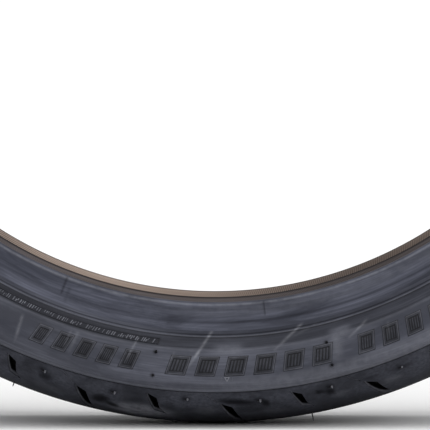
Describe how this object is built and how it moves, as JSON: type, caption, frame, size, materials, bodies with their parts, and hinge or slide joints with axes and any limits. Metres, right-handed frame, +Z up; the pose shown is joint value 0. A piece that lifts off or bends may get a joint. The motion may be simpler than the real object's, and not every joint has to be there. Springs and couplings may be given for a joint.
{
  "type": "motorcycle tire",
  "caption": "Tubeless motorcycle front tire with a rounded grooved tread, marked sidewalls and wired beads; holds air on a wheel rim and grips the road.",
  "frame": {"origin": "wheel centre: on the axle axis, midway between the sidewalls", "axes": "+Y along the axle towards the left sidewall, +Z up, +X forward; the pictured right sidewall faces -Y"},
  "size_m": [0.6346, 0.1318, 0.6346],
  "materials": {
    "tread_rubber": "matte",
    "sidewall_rubber": "satin",
    "rim_strip_rubber": "satin",
    "liner_rubber": "satin",
    "gum_rubber": "matte",
    "filler_rubber": "matte",
    "ply_cord": "matte",
    "belt_cord": "matte",
    "chafer_fabric": "matte",
    "bead_wire": "satin"
  },
  "bodies": {
    "root": {"tread": "tread_rubber", "undertread": "gum_rubber", "spiral_belt": "belt_cord", "breaker_belt_outer": "belt_cord", "breaker_belt_inner": "belt_cord", "carcass_ply_outer": "ply_cord", "carcass_ply_inner": "ply_cord", "inner_liner": "liner_rubber", "sidewall_right": "sidewall_rubber", "rim_strip_right": "rim_strip_rubber", "belt_edge_cushion_right": "gum_rubber", "bead_core_right": "bead_wire", "bead_wrap_right": "gum_rubber", "bead_filler_right": "filler_rubber", "chafer_right": "chafer_fabric", "sidewall_left": "sidewall_rubber", "rim_strip_left": "rim_strip_rubber", "belt_edge_cushion_left": "gum_rubber", "bead_core_left": "bead_wire", "bead_wrap_left": "gum_rubber", "bead_filler_left": "filler_rubber", "chafer_left": "chafer_fabric"}
  },
  "joints": []
}
